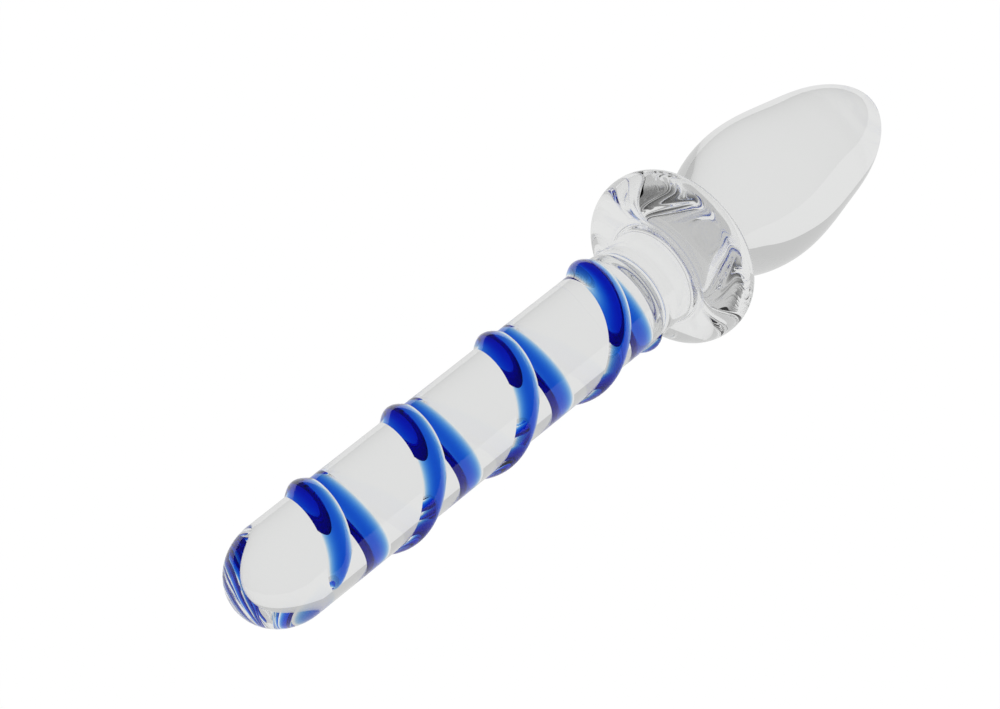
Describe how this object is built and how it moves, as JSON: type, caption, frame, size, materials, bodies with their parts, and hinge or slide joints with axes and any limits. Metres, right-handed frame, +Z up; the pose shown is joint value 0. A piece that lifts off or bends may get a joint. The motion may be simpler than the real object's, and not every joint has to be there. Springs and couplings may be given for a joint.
{
  "type": "double-ended glass massager wand",
  "caption": "Clear hand-worked glass wand: round-tipped shaft with a raised blue spiral, a thick collar bead and a tapered bulb. An adult intimate massager, not a pen.",
  "frame": {"origin": "middle of the bounding box, on the ground plane that the wand lies on", "axes": "+X along the wand from the spiral shaft's domed tip to the bulb's nose, +Z up, +Y to the left of that direction"},
  "size_m": [0.2358, 0.047, 0.0469],
  "materials": {
    "shaft_glass": "fire-polished clear borosilicate glass",
    "cobalt_glass": "transparent cobalt blue borosilicate glass, sealed inside the clear casing",
    "casing_glass": "fire-polished clear borosilicate glass over the blue cane",
    "neck_glass": "fire-polished clear borosilicate glass",
    "collar_glass": "fire-polished clear borosilicate glass, hand-wound bead",
    "bulb_glass": "fire-polished clear borosilicate glass, drawn bulb"
  },
  "bodies": {
    "root": {"shaft_rod": "shaft_glass", "spiral_blue_core": "cobalt_glass", "spiral_clear_casing": "casing_glass", "neck_rod": "neck_glass", "collar_ring": "collar_glass", "plug_bulb": "bulb_glass"}
  },
  "joints": []
}
